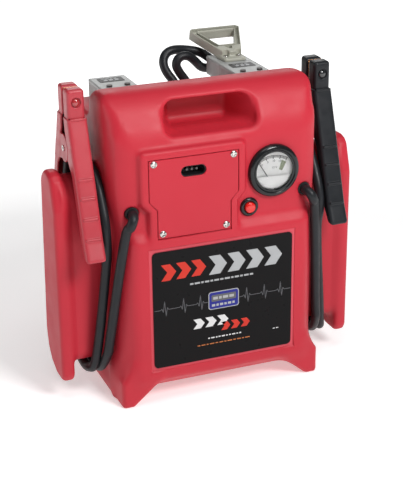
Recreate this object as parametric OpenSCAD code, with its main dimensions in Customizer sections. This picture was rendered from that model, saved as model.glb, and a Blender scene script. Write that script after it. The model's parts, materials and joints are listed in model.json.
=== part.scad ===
// Portable jump starter pack: a one-piece moulded case with two bobbin flanges for the
// clamp leads, two selector receptacles at the rear, a plug with a pull handle, a meter,
// a test button and two batteries. X runs across the front, Y to the back, Z up.

/* [Case] */
// Half width of the case between the two bobbins
case_half = 152; // [148:1:154]
// Half width of the flat front panel, inside the slanted corners
panel_half = 128; // [120:1:132]
// Depth of the case from the label panel to the back wall
case_depth = 202; // [198:1:206]
// Height of the case at its crest
case_top = 443; // [438:1:448]
// Height of the deck that carries the receptacles
deck_z = 402; // [398:1:404]
// Wall thickness of the moulding
wall = 4; // [3:0.5:5]

/* [Front] */
// Height of the label panel
panel_top = 248; // [244:1:252]
// Depth of the meter panel behind the label panel
meter_set_back = 10; // [8:1:12]
// Radius of the meter bezel
bezel_r = 37.5; // [34:0.5:38]
// Radius of the visible meter dial
dial_r = 27; // [22:1:28]
// Travel of the test button
button_travel = 3; // [2:0.5:4]

/* [Bobbins] */
// Inner face of each outer flange, from the middle of the case
flange_in = 204; // [203:1:206]
// Outer face of each flange
flange_out = 223; // [219:1:226]
// Diameter of the clamp leads and of the selector leads
lead_d = 13.5; // [11:0.5:13.5]

/* [Clamps] */
// Distance of each clamp's middle from the middle of the case
clamp_x = 180.5; // [180:0.5:182]
// Width of the insulated clamp handles
clamp_w = 27.5; // [26:0.5:28]
// Radius of the pivot pin
pin_r = 4; // [3:0.5:4]

/* [Selector plug] */
// Distance of each receptacle's middle from the middle of the case
receptacle_x = 100; // [96:1:104]
// Width of a two-pole connector housing
housing_w = 54; // [50:1:56]
// Height of a connector housing
housing_h = 28; // [26:1:29]
// Upward tilt of the plug's pull handle
handle_tilt = 15; // [12:1:20]

/* [Hidden] */
$fn = 48;
RED = "#d8293f";
BLACK = "#2b2d30";
BRIGHT = "#b9bcc0";
GREY = "#b4b8b6";
COPPER = "#b87333";
gap = 0.3;
corner_y = 34;
skirt_z = 32;
floor_z = 5;
screw_head_h = 2.2;

// Rear cover screws
cover_y = 4;
cover_screw_xz = [for (x = [-116, 116], z = [72, 180, 288]) [x, z]];

// Front plate and the raised boss around it
plate_x = -41.5;
plate_up = 64.3;
plate_low = 53;
plate_bottom = 250;
plate_top = 362;
plate_t = 2.5;
plate_jog = [292, 304];
boss_rim = 12;
plate_screw_xz = [[-57.1, 356.8], [57.1, 356.8], [-46.1, 257.1], [46.1, 257.1]];
slot_xz = [-42, 341];
slot_size = [36, 15];
pin_dx = [-7, 0, 7];
boss_depth = 22;
board_y = 31;
board_window = [84, 92];
board_window_z = 308;

// Meter and button
meter_y = meter_set_back;
meter_x = 78.4;
meter_z = 322.6;
bezel_h = 8;
button_x = 42.5;
button_z = 274;
button_r = 7.5;
button_out = 8;
switch_y = meter_y + 20.1;
plunger_end = switch_y - button_travel - 0.2;
needle_pivot_z = 300;
needle_len = 43;
needle_rest = 32;

// Grip pocket
grip_x = -8;
grip_half = 66;
grip_back_half = 44;
grip_z = [386, 429];
grip_side_y = 26;
grip_y = 82;

// Bobbin core and flange
core_y = [57, 123];
core_z = [55, 328];
core_mid = (core_y[0] + core_y[1]) / 2;
core_r = (core_y[1] - core_y[0]) / 2;
hole_x = 127;
hole_z = 288;

// Batteries, side by side from front to back
battery = [181, 77, 167];
battery_z = 19;
battery_y = [36, 36.6 + battery[1]];
battery_top = battery_z + battery[2];
bracket_x = 20;
bracket_y = 110;

// Clamp geometry, measured from the pivot
pivot_y = 92;
pivot_z = 365;
jaw_top = 85;
arm_top = 43;
arm_bottom = -137;
jaw_face = 24;
arm_face = 27;
arm_slope = 0.337;
ear_r = 14;
ear_t = 2.6;
shell_t = 2.75;
bolt_z = 67;
bolt_r = 3;

// Receptacles, plug and pull handle
housing_len = 64;
receptacle_y = 124;
plug_screw_x = 10;
mate_y = receptacle_y + housing_len;
plug_len = 52;
plug_y = mate_y + gap;
handle_y = 200;
handle_len = 84;
handle_depth = 15;
handle_drop = 3;
handle_rear = handle_y + handle_len * cos(handle_tilt) + handle_drop * sin(handle_tilt);
housing_top = deck_z + housing_h;
contact_dx = 12.5;
housing_screw = [13, 134];
gland_r = 9;
lead_hole_r = lead_d / 2 + 0.4;

// Everything is moved so that the origin lies under the middle of the object
mid_y = (handle_rear - screw_head_h) / 2;

// Leads: round-number routes for the right side, [distance from the middle, Y, Z]
clamp_route = [[127, 16, 288], [127, 6, 288], [129.5, -2, 285.5], [134, -4, 276],
    [141, 4.5, 252], [158, 29.5, 104], [162, 35, 74], [167, 58, 46],
    [167, 100, 44], [164, 126, 58], [160, 131.5, 84], [159.4, 132, 290], [159.4, 129, 311],
    [159.4, 119, 324], [159.4, 106, 333], [159.4, 90, 336], [159.4, 74, 333],
    [159.4, 61, 324], [159.4, 50, 311], [159.4, 31, 278], [159.4, 26, 250],
    [159.4, 32, 208], [174, 46, 72], [181, 64, 45], [181.5, 106, 45],
    [181.5, 128, 64], [181, 132, 86], [180.5, 132, 290], [180.5, 129, 316],
    [180.5, 117, 346], [180.5, 110.5, 361]];
selector_routes = [
    [[88, 228, 416], [88, 242, 416], [83.5, 256, 422.5], [71, 265, 430.5], [50, 267, 435.5],
        [31, 263, 438], [19, 260.5, 435.5], [12, 257, 428], [10.5, 253, 418], [14.5, 248.5, 407],
        [22.5, 243.5, 394], [30, 235, 371], [32, 219.5, 353.3], [32, 205, 352]],
    [[112, 228, 416], [112, 244, 415], [105.5, 257, 409], [90, 262, 405], [73, 258, 408.5],
        [58, 250, 422], [48, 247, 430], [38, 246, 431.8], [30, 245.2, 427.8], [27, 244.6, 419],
        [32, 243.8, 407.5], [41, 241.5, 394], [53, 234, 370], [56, 219.5, 353.3], [56, 205, 352]]];
selector_gland_x = [32, 56];
selector_z = 352;

module place() translate([0, -mid_y, 0]) children();
module both() for (side = [-1, 1]) scale([side, 1, 1]) children();
// A plate drawn in X and Z, with its front at the given Y
module upright(y, t) translate([0, y + t, 0]) rotate([90, 0, 0]) linear_extrude(t) children();
// A profile drawn in Y and Z, extruded between two X values
module sideways(x0, x1)
    translate([x0, 0, 0]) rotate([90, 0, 90]) linear_extrude(x1 - x0) children();
// A cylinder along Y
module rod(x, z, y0, y1, r)
    translate([x, y0, z]) rotate([-90, 0, 0]) cylinder(h = y1 - y0, r = r);

function arc(cx, cy, r, a0, a1, n) =
    [for (i = [0:n]) [cx + r * cos(a0 + (a1 - a0) * i / n), cy + r * sin(a0 + (a1 - a0) * i / n)]];

// ---- Case ----
function plan(w) = [[-panel_half + w * 0.6, w], [panel_half - w * 0.6, w],
    [case_half - w, corner_y + w * 0.4], [case_half - w, case_depth - w],
    [-case_half + w, case_depth - w], [-case_half + w, corner_y + w * 0.4]];
function profile(w) = concat(
    [[w, skirt_z + 4 + w], [w, panel_top - w], [meter_set_back + w, panel_top + 8],
        [meter_set_back + w, 389]],
    arc(53, case_top - 16, 16 - w, 148, 96, 4),
    [[82, case_top - w], [112, case_top - 9 - w], [receptacle_y - 6, deck_z + 14 - w],
        [receptacle_y - 4, deck_z - w], [case_depth - w, deck_z - w],
        [case_depth - w, 16 + w], [case_depth - 12, floor_z + w], [44 + w, floor_z + w],
        [8 + w, skirt_z + w]]);
function flange_profile(w) = concat(
    arc(62, 41, 10 - w, 180, 270, 4),
    [[88, 31 + w], [112 - w / 2, 41 + w], [128 - w, 60], [134 - w, 88], [118 - w, 311]],
    arc(92, 311, 26 - w, 0, 90, 5), arc(82, 317, 20 - w, 90, 150, 4), [[52 + w, 288]]);
function core_profile(w) = concat(
    arc(core_y[1] - 26, core_z[0] + 26, 26 - w, -90, 0, 5),
    arc(core_mid, core_z[1] - core_r, core_r - w, 0, 180, 12),
    arc(core_y[0] + 20, core_z[0] + 20, 20 - w, 180, 270, 5));

module body_solid(w) {
    intersection() {
        linear_extrude(case_top + 20) polygon(plan(w));
        sideways(-case_half, case_half) polygon(profile(w));
        head_limits(w);
    }
}
// Front view of the case with its rounded upper corners
module head_limits(w) upright(-20, case_depth + 40) polygon(concat(
    [[-case_half + w, 0], [case_half - w, 0]],
    arc(case_half - 26, case_top - 26, 26 - w, 0, 90, 6),
    arc(-case_half + 26, case_top - 26, 26 - w, 90, 180, 6)));
function jogged(up, low, bottom, top, z0, z1) = [[-low, bottom], [low, bottom], [low, z0],
    [up, z1], [up, top], [-up, top], [-up, z1], [-low, z0]];
module boss_outline() translate([plate_x, 0]) polygon(jogged(plate_up + boss_rim,
    plate_low + boss_rim, panel_top - 2, plate_top + boss_rim, plate_jog[0], plate_jog[1]));
module plate_outline(g) translate([plate_x, 0]) polygon(jogged(plate_up + g, plate_low + g,
    plate_bottom - g, plate_top + g, plate_jog[0], plate_jog[1]));
module bobbin(w) {
    sideways(flange_in + w, flange_out - w) polygon(flange_profile(w));
    sideways(case_half - 10, flange_in + 2 * w + 1) polygon(core_profile(w));
}
module foot() {
    upright(10, 40) polygon([[case_half - 1, 0], [130, 0], [107, 18], [86, skirt_z + 3],
        [128, 46], [case_half - 1, 20]]);
    translate([130, 50, 0]) cube([case_half - 131, case_depth - 62, floor_z + 5]);
    upright(case_depth - 40, 28) polygon([[case_half - 1, 0], [118, 0], [106, 12],
        [case_half - 1, 20]]);
}
// The hand pocket, grown by the wall around it
module grip_void(w)
    translate([grip_x, 0, grip_z[0] - w]) linear_extrude(grip_z[1] - grip_z[0] + 2 * w)
        polygon([[-grip_half - w, -5], [grip_half + w, -5], [grip_half + w, grip_side_y],
            [grip_back_half + w, grip_y + w], [-grip_back_half - w, grip_y + w],
            [-grip_half - w, grip_side_y]]);
module case() color(RED) place() difference() {
    union() {
        difference() {
            union() {
                body_solid(0);
                both() bobbin(0);
                both() foot();
            }
            body_solid(wall);
            both() bobbin(wall);
        }
        intersection() { body_solid(0); grip_void(wall); }
        intersection() {
            upright(0, boss_depth) boss_outline();
            linear_extrude(case_top) polygon(plan(0));
        }
        for (x = [-1, 1] * receptacle_x) translate([x - 20, 130, deck_z - 12]) cube([40, 50, 10]);
    }
    grip_void(0);
    upright(-1, 1 + plate_t) plate_outline(gap);
    upright(-1, 30) square_at(plate_x, board_window_z, board_window[0], board_window[1]);
    upright(-1, 0.3 + 1) square_at(0, 144, 209.4, 174.9);
    for (p = plate_screw_xz) rod(plate_x + p[0], p[1], -1, 14, 1.7);
    rod(meter_x, meter_z, 0, 30, dial_r + 5);
    rod(button_x, button_z, 0, 30, 8.1);
    both() rod(hole_x, hole_z, -5, 30, gland_r + 0.1);
    for (x = selector_gland_x) rod(x, selector_z, case_depth - 10, case_depth + 10, gland_r + 0.1);
    upright(case_depth - 20, 40) square_at(0, 180, 220, 240);
    for (p = cover_screw_xz) rod(p[0], p[1], case_depth - 12, case_depth + 10, 1.7);
    for (x = [-1, 1] * receptacle_x, dx = [-1, 1] * housing_screw[0])
        translate([x + dx, housing_screw[1], deck_z - 14]) cylinder(h = 30, r = 2.05);
}
module square_at(x, z, w, h) translate([x - w / 2, z - h / 2]) square([w, h]);

// ---- Rear cover ----
module rear_cover() color(RED) place() difference() {
    union() {
        upright(case_depth, cover_y) square_at(0, 180, 246, 258);
        upright(case_depth - 4, 4.5) square_at(0, 180, 219, 239);
    }
    for (p = cover_screw_xz) rod(p[0], p[1], case_depth - 6, case_depth + 6, 2.1);
    for (i = [0:5]) upright(case_depth - 6, 12) square_at(0, 232 + i * 9, 90, 3.5);
}
module rear_cover_screws() color(BRIGHT) place() for (p = cover_screw_xz) {
    rod(p[0], p[1], case_depth - 11, case_depth + cover_y, 1.6);
    rod(p[0], p[1], case_depth + cover_y, case_depth + cover_y + 2, 4.5);
}

// ---- Front plate with the charging inlet ----
module front_plate() color(RED) place() difference() {
    upright(0, plate_t - 0.02) plate_outline(0);
    for (p = plate_screw_xz) rod(plate_x + p[0], p[1], -2, 6, 2.1);
    upright(-2, 8) stadium(slot_xz, slot_size);
}
module stadium(at, size) {
    square_at(at[0], at[1], size[0] - size[1], size[1]);
    for (s = [-1, 1]) translate([at[0] + s * (size[0] - size[1]) / 2, at[1]]) circle(size[1] / 2);
}
module front_plate_screws() color(BRIGHT) place() for (p = plate_screw_xz) difference() {
    union() {
        rod(plate_x + p[0], p[1], -0.05, 12, 1.6);
        rod(plate_x + p[0], p[1], -screw_head_h, 0, 5.6);
    }
    upright(-3, 2.2) square_at(plate_x + p[0], p[1], 4.4, 1);
    upright(-3, 2.2) square_at(plate_x + p[0], p[1], 1, 4.4);
}
module charge_inlet() color(BLACK) place() difference() {
    union() {
        upright(plate_t, 5) square_at(slot_xz[0], slot_xz[1], 52, 24);
        upright(plate_t + 5, 17) square_at(slot_xz[0], slot_xz[1], 40, 19);
    }
    upright(1, 17.5) stadium(slot_xz, [34, 13]);
    for (dx = pin_dx) rod(slot_xz[0] + dx, slot_xz[1], 18, 26, 1.65);
}
module charge_inlet_pins() color(BRIGHT) place()
    for (dx = pin_dx) rod(slot_xz[0] + dx, slot_xz[1], 8, 28, 1.6);
// The board stands behind the plate on four posts
module charge_board() color("darkgreen") place() {
    upright(board_y, 1.6) square_at(plate_x, 299, 78, 82);
    upright(board_y + 1.5, 18) square_at(plate_x - 18, 286, 26, 30);
    upright(board_y + 1.5, 26) square_at(plate_x + 20, 282, 28, 34);
    upright(board_y + 1.5, 10) square_at(plate_x + 6, 322, 34, 12);
    for (x = [-34, 34], z = [266, 334]) rod(plate_x + x, z, plate_t, board_y + 0.5, 3);
}
// Held against the inside of the rear cover
module circuit_breaker() color(BLACK) place() {
    translate([50, case_depth - 34.1, 250]) cube([46, 30, 34]);
    for (x = [58, 88]) translate([x, case_depth - 19, 283]) cylinder(h = 10, r = 3);
}
module front_label() color(BLACK) place() upright(-0.4, 0.7) square_at(0, 144, 208.8, 174.3);

// ---- Meter ----
module ring(y0, y1, r_in, r_out) difference() {
    rod(meter_x, meter_z, y0, y1, r_out);
    rod(meter_x, meter_z, y0 - 1, y1 + 1, r_in);
}
module meter_bezel() color(BLACK) place() {
    ring(meter_y - bezel_h + 1.5, meter_y - 0.02, dial_r + 2, bezel_r);
    ring(meter_y - bezel_h, meter_y - bezel_h + 1.6, dial_r + 0.6, bezel_r - 3);
}
module meter_lens() color([0.9, 0.95, 1, 0.35]) place()
    rod(meter_x, meter_z, meter_y - 5.8, meter_y - 4, dial_r + 1.9);
module meter_dial() color("white") place()
    rod(meter_x, meter_z, meter_y + 0.2, meter_y + 1.2, dial_r + 1.8);
module meter_arbor() color("#c9a24a") place()
    rod(meter_x, needle_pivot_z, meter_y - 2.6, meter_y + 0.2, 1.2);
module meter_needle() color(BLACK) place()
    translate([meter_x, meter_y - 2, needle_pivot_z]) rotate([0, -needle_rest, 0]) {
        difference() {
            rotate([-90, 0, 0]) cylinder(h = 0.8, r = 2.6);
            translate([0, -1, 0]) rotate([-90, 0, 0]) cylinder(h = 3, r = 1.25);
        }
        translate([-0.45, 0, 2.4]) cube([0.9, 0.8, needle_len - 2.4]);
        translate([-1.2, 0, -5]) cube([2.4, 0.8, 3]);
    }
module meter_can() color(BLACK) place() difference() {
    rod(meter_x, meter_z, meter_y + 1.3, meter_y + 42, dial_r + 4.6);
    rod(meter_x, meter_z, meter_y + 1, meter_y + 36, dial_r + 2);
}
module meter_studs() color("#c9a24a") place()
    for (dx = [-11, 11]) rod(meter_x + dx, meter_z, meter_y + 42, meter_y + 56, 2.4);

// ---- Test button ----
module button_bezel() color(BLACK) place() difference() {
    union() {
        rod(button_x, button_z, meter_y - 4, meter_y - 0.02, 13.5);
        rod(button_x, button_z, meter_y - 1, meter_y + 20, 8);
    }
    rod(button_x, button_z, meter_y - 6, meter_y + 22, button_r + 0.05);
}
module test_button() color("red") place() {
    rod(button_x, button_z, meter_y - button_out + 2, meter_y + 6, button_r);
    intersection() {
        rod(button_x, button_z, meter_y - button_out, meter_y - button_out + 3, button_r);
        translate([button_x, meter_y - button_out + 14, button_z]) sphere(r = 14);
    }
    rod(button_x, button_z, meter_y + 5.9, plunger_end, 2.5);
}
module button_spring() color(BRIGHT) place() difference() {
    rod(button_x, button_z, meter_y + 6.3, meter_y + 19.8, 5.4);
    rod(button_x, button_z, meter_y + 6, meter_y + 21, 4.2);
}
module test_switch() color(BLACK) place() {
    upright(switch_y, 18) square_at(button_x, button_z, 16, 18);
    for (dz = [-5, 5]) upright(switch_y + 17.9, 8) square_at(button_x, button_z + dz, 4, 0.9);
}

// ---- Batteries ----
// A block with a slightly narrower lid
module battery_block(y) translate([-battery[0] / 2, y, battery_z]) {
    cube([battery[0], battery[1], battery[2] - 14]);
    translate([2, 2, 0]) cube([battery[0] - 4, battery[1] - 4, battery[2]]);
}
module battery_front() color("#3a3d42") place() battery_block(battery_y[0]);
module battery_rear() color("#3a3d42") place() battery_block(battery_y[1]);
module battery_terminals() color(BRIGHT) place()
    for (y = battery_y, x = [-78, 66]) translate([x, y + 30, battery_top])
        difference() {
            cube([12, 12, 14]);
            translate([-1, 6, 8]) rotate([0, 90, 0]) cylinder(h = 14, r = 3);
        }
module battery_link() color(COPPER) place()
    translate([62, battery_y[0] + 28, battery_top + 14.1]) cube([20, battery[1] + 16.6, 2.5]);
module battery_tray() color("#5c5f63") place() difference() {
    translate([-case_half + 30, 49, floor_z + wall + 0.1]) cube([2 * case_half - 60, 140, 15]);
    translate([-battery[0] / 2 - 1, 35, battery_z - 0.1]) cube([battery[0] + 2, 157, 20]);
}
module battery_bracket() color("#8b8f94") place() for (x = [-1, 1] * bracket_x) difference() {
    union() {
        translate([x - 10, 33, battery_top + 0.1]) cube([20, 161, 2]);
        translate([x - 10, 191.8, 60]) cube([20, 2, battery_top - 58.9]);
    }
    translate([x, bracket_y, battery_top - 1]) cylinder(h = 4, r = 3.3);
}
module bracket_screws() color(BRIGHT) place() for (x = [-1, 1] * bracket_x)
    translate([x, bracket_y, battery_top + 2.1]) cylinder(h = 4, r = 5, $fn = 6);

// ---- Receptacles ----
module housing(x, y, len) difference() {
    union() {
        translate([x - housing_w / 2, y, deck_z + 0.1]) cube([housing_w, len, housing_h - 2.1]);
        translate([x - housing_w / 2 + 2, y, deck_z + 0.1])
            cube([housing_w - 4, len, housing_h - 0.1]);
    }
    children();
}
module receptacle(s) housing(s * receptacle_x, receptacle_y, housing_len) {
    for (dx = [-1, 1] * contact_dx)
        translate([s * receptacle_x + dx - 8, mate_y - 30, deck_z + 5]) cube([16, 31, 18]);
    for (dx = [-1, 1] * housing_screw[0])
        translate([s * receptacle_x + dx, housing_screw[1], deck_z - 1]) cylinder(h = 40, r = 2.05);
}
module receptacle_left() color(GREY) place() receptacle(-1);
module receptacle_right() color(GREY) place() receptacle(1);
module receptacle_contacts() color(BRIGHT) place()
    for (x = [-1, 1] * receptacle_x, dx = [-1, 1] * contact_dx)
        translate([x + dx - 6, mate_y - 30, deck_z + 6]) cube([12, 24, 4]);
module receptacle_labels() color(BLACK) place() for (x = [-1, 1] * receptacle_x)
    translate([x - 18, 158, housing_top]) cube([36, 20, 0.5]);
module receptacle_screws() color(BRIGHT) place()
    for (x = [-1, 1] * receptacle_x, dx = [-1, 1] * housing_screw[0])
        translate([x + dx, housing_screw[1], 0]) {
            translate([0, 0, deck_z - 14]) cylinder(h = housing_h + 14.2, r = 2);
            translate([0, 0, housing_top + 0.05]) cylinder(h = 2.6, r = 4);
        }

// ---- Selector plug ----
module plug_housing() color(GREY) place() {
    housing(receptacle_x, plug_y, plug_len) {
        for (dx = [-1, 1] * 12)
            translate([receptacle_x + dx, plug_y + plug_len - 16, deck_z + 14]) rotate([-90, 0, 0])
                cylinder(h = 20, r = lead_d / 2 + 0.75);
        for (dx = [-1, 1] * plug_screw_x)
            translate([receptacle_x + dx, handle_y + 4, housing_top - 8.2]) cylinder(h = 9, r = 2.05);
    }
    for (dx = [-1, 1] * contact_dx)
        translate([receptacle_x + dx - 7, mate_y - 22, deck_z + 12]) cube([14, 24, 9.5]);
}
module plug_contacts() color(BRIGHT) place() for (dx = [-1, 1] * contact_dx)
    translate([receptacle_x + dx - 6, mate_y - 23, deck_z + 10.2]) cube([12, 22, 1.6]);
module plug_handle() color("#8f907c") place()
    translate([receptacle_x, handle_y, housing_top + 0.1]) difference() {
        union() {
            translate([-17, -10, 0]) cube([34, 34, 5]);
            rotate([handle_tilt, 0, 0]) translate([0, 0, -handle_drop]) difference() {
                linear_extrude(handle_depth) polygon([[-14, 12], [-16, 6], [16, 6], [14, 12],
                    [40, handle_len - 5], [36, handle_len], [-36, handle_len],
                    [-40, handle_len - 5]]);
                translate([0, 0, -1]) linear_extrude(handle_depth + 2) polygon([[-12, 29],
                    [12, 29], [30, handle_len - 11], [-30, handle_len - 11]]);
            }
        }
        for (x = [-1, 1] * plug_screw_x) translate([x, 4, 0]) {
            translate([0, 0, -1]) cylinder(h = 8, r = 2.3);
            translate([0, 0, 5]) cylinder(h = 20, r = 4.4);
        }
        translate([-60, -20, -20]) cube([120, 80, 20]);
    }
module plug_handle_screws() color(BRIGHT) place() for (dx = [-1, 1] * plug_screw_x)
    translate([receptacle_x + dx, handle_y + 4, housing_top - 8]) {
        cylinder(h = 13.2, r = 2);
        translate([0, 0, 13.2]) cylinder(h = 2.5, r = 4);
    }
module selector_gland() color(BLACK) place() for (x = selector_gland_x) difference() {
    union() {
        rod(x, selector_z, case_depth - 8, case_depth + 0.02, gland_r);
        rod(x, selector_z, case_depth, case_depth + 6, 11.5);
    }
    rod(x, selector_z, case_depth - 9, case_depth + 7, lead_hole_r);
}

// ---- Leads ----
function unit(v) = v / norm(v);
function heading(p, i) = unit(p[min(i + 1, len(p) - 1)] - p[max(i - 1, 0)]);
function across(t) = unit(cross(t, abs(t[0]) < 0.7 ? [1, 0, 0] : [0, 0, 1]));
function ring_at(p, t, u, r, n) = [for (k = [0:n - 1])
    p + r * (cos(360 * k / n) * u + sin(360 * k / n) * cross(t, u))];
function carried(u, t) = unit(u - (u * t) * t);
function frames(p, i = 0, u = undef) = i == len(p) ? [] :
    let (t = heading(p, i), v = is_undef(u) ? across(t) : carried(u, t))
    concat([v], frames(p, i + 1, v));
module tube(p, r, n = 8) {
    f = frames(p);
    rings = [for (i = [0:len(p) - 1]) each ring_at(p[i], heading(p, i), f[i], r, n)];
    last = n * (len(p) - 1);
    polyhedron(rings, concat([[for (k = [0:n - 1]) k]],
        [for (i = [0:len(p) - 2], k = [0:n - 1]) let (a = i * n + k, b = i * n + (k + 1) % n)
            each [[a, a + n, b], [b, a + n, b + n]]],
        [[for (k = [0:n - 1]) last + n - 1 - k]]), convexity = 10);
}
function sided(route, s) = [for (p = route) [s * p[0], p[1], p[2]]];
// A sleeve sunk in the hole that a clamp lead comes out of
module lead_gland(x) difference() {
    rod(x, hole_z, meter_set_back + 0.6, meter_set_back + 16, gland_r);
    rod(x, hole_z, meter_set_back, meter_set_back + 17, lead_hole_r);
}
module lead_gland_red() color(BLACK) place() lead_gland(-hole_x);
module lead_gland_black() color(BLACK) place() lead_gland(hole_x);
module lead_red() color(BLACK) place() tube(sided(clamp_route, -1), lead_d / 2);
module lead_black() color(BLACK) place() tube(sided(clamp_route, 1), lead_d / 2);
module selector_lead_left() color(BLACK) place() tube(selector_routes[0], lead_d / 2);
module selector_lead_right() color(BLACK) place() tube(selector_routes[1], lead_d / 2);

// ---- Clamps: drawn for the front arm, with the pivot at the origin ----
function face_y(z) = -arm_face - (arm_top - z) * arm_slope;
function arm_outline(w) = [[-jaw_face + w, jaw_top - w], [-jaw_face + w, arm_top + 2 - w],
    [-arm_face + w, arm_top - w], [face_y(arm_bottom) + w, arm_bottom + w + 8],
    [face_y(arm_bottom) + 6, arm_bottom + w], [face_y(arm_bottom) + 16 - w, arm_bottom + w],
    [face_y(-60) + 17, -60], [face_y(-30) + 18, -30], [-16, -12], [-16, 12], [-9, 26],
    [-6, 46], [-3.4, 50], [-3.4, jaw_top - w]];
module arm_frame(side, mirrored) place() translate([side * clamp_x, pivot_y, pivot_z])
    scale([1, mirrored ? -1 : 1, 1]) children();
module arm(outer_ears) difference() {
    union() {
        difference() {
            sideways(-clamp_w / 2, clamp_w / 2) polygon(arm_outline(0));
            sideways(-clamp_w / 2 + shell_t, clamp_w / 2 - shell_t) intersection() {
                translate([3, 0]) polygon(arm_outline(2));
                translate([-120, -122]) square([120, 172]);
            }
            sideways(-clamp_w / 2 - 1, clamp_w / 2 + 1) circle(ear_r + 1.5);
        }
        ears(outer_ears);
    }
    translate([-20, 0, 0]) rotate([0, 90, 0]) cylinder(h = 40, r = pin_r + 0.06);
    for (s = [-1, 1]) translate([s * clamp_w / 2 - 1.5, -60, jaw_top - 45]) cube([3, 60, 60]);
    rod(0, bolt_z, -jaw_face - 2, -jaw_face + 3, 6.5);
    rod(0, bolt_z, -jaw_face, 0, bolt_r + 0.05);
    translate([-6.1, -19.1, 40]) cube([12.2, 4.2, 35.1]);
}
module ears(outer) {
    x = outer ? clamp_w / 2 - ear_t : clamp_w / 2 - 2 * ear_t - 0.5;
    for (s = [-1, 1]) sideways(s > 0 ? x : -x - ear_t, s > 0 ? x + ear_t : -x) {
        circle(ear_r);
        polygon([[0, 13], [-26, 22], [face_y(0) + 1.5, 0], [face_y(-22) + 1.5, -22], [0, -13]]);
    }
}
module jaw() {
    sideways(-9.5, 9.5) polygon(concat([[-3.35, jaw_top - 1], [-3.35, 50], [-1.8, 50]],
        [for (i = [0:7]) each [[-0.3, 52 + i * 4], [-1.8, 54 + i * 4]]], [[-1.8, jaw_top - 1]]));
    rod(0, bolt_z, -jaw_face, -3.3, bolt_r);
    rod(0, bolt_z, -jaw_face - 1.2, -jaw_face + 2.9, 5.2);
}
module clamp_arm(side, mirrored, tint) color(tint) arm_frame(side, mirrored) arm(mirrored);
module clamp_jaw(side, mirrored) color(COPPER) arm_frame(side, mirrored) jaw();
module clamp_pin(side) color(BRIGHT) arm_frame(side, false) rotate([0, 90, 0])
    difference() {
        translate([0, 0, -clamp_w / 2 - 1.2]) cylinder(h = clamp_w + 2.4, r = pin_r);
        translate([0, 0, -clamp_w / 2 - 2]) cylinder(h = 3, r = 1.5);
    }
module clamp_spring(side) color(BRIGHT) arm_frame(side, false) rotate([0, 90, 0])
    difference() {
        translate([0, 0, -6.2]) cylinder(h = 12.4, r = 8.5);
        translate([0, 0, -7]) cylinder(h = 14, r = pin_r + 0.3);
    }
module clamp_lug(side) color(COPPER) arm_frame(side, true) difference() {
    union() {
        translate([0, -16, 4]) cylinder(h = 22, r = 6);
        translate([-6, -19, 25]) cube([12, 4, 50]);
    }
    translate([0, -16, 3]) cylinder(h = 18, r = 4.8);
    rod(0, bolt_z, -20, -14, bolt_r + 0.05);
}
module red_front_arm() clamp_arm(-1, false, "#c23544");
module red_rear_arm() clamp_arm(-1, true, "#c23544");
module red_front_jaw() clamp_jaw(-1, false);
module red_rear_jaw() clamp_jaw(-1, true);
module red_pin() clamp_pin(-1);
module red_spring() clamp_spring(-1);
module red_lug() clamp_lug(-1);
module black_front_arm() clamp_arm(1, false, BLACK);
module black_rear_arm() clamp_arm(1, true, BLACK);
module black_front_jaw() clamp_jaw(1, false);
module black_rear_jaw() clamp_jaw(1, true);
module black_pin() clamp_pin(1);
module black_spring() clamp_spring(1);
module black_lug() clamp_lug(1);

case();
rear_cover();
rear_cover_screws();
front_plate();
front_plate_screws();
front_label();
charge_inlet();
charge_inlet_pins();
charge_board();
circuit_breaker();
meter_bezel();
meter_lens();
meter_dial();
meter_arbor();
meter_needle();
meter_can();
meter_studs();
button_bezel();
test_button();
button_spring();
test_switch();
battery_front();
battery_rear();
battery_terminals();
battery_link();
battery_tray();
battery_bracket();
bracket_screws();
receptacle_left();
receptacle_right();
receptacle_contacts();
receptacle_labels();
receptacle_screws();
plug_housing();
plug_contacts();
plug_handle();
plug_handle_screws();
selector_lead_left();
selector_lead_right();
selector_gland();
lead_gland_red();
lead_gland_black();
lead_red();
lead_black();
red_front_arm();
red_rear_arm();
red_pin();
red_spring();
red_front_jaw();
red_rear_jaw();
red_lug();
black_front_arm();
black_rear_arm();
black_pin();
black_spring();
black_front_jaw();
black_rear_jaw();
black_lug();
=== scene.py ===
"""Looks of the jump starter pack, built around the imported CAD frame.

Sizes are in millimetres in the design's own frame: X to the right, Y to the back from
the label panel, Z up from the floor. at() turns them into the frame's metres.
The moulded pieces are distance fields, meshed by solid(), so that every edge is round."""
import json
import math

import bmesh
import bpy
import numpy as np
import openvdb
from mathutils import Matrix, Vector


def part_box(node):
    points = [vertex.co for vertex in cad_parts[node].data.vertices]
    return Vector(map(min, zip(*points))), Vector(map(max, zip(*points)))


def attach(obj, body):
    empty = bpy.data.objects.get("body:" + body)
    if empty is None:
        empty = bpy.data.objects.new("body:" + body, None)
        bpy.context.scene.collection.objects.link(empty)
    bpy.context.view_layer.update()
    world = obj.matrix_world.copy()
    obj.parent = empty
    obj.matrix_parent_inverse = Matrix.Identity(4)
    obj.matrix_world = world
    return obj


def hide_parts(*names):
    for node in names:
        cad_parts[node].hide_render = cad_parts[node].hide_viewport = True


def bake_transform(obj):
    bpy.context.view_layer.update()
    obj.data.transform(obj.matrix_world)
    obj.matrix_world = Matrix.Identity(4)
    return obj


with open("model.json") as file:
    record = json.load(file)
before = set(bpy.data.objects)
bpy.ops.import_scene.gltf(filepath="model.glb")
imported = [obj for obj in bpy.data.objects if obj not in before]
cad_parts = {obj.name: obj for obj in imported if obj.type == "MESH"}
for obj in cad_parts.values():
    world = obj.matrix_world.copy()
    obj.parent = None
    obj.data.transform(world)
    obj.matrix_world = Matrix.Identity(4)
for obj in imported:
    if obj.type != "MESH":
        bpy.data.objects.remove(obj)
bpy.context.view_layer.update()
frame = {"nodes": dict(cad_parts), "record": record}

MM = 0.001
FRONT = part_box("case")[0].y


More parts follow.
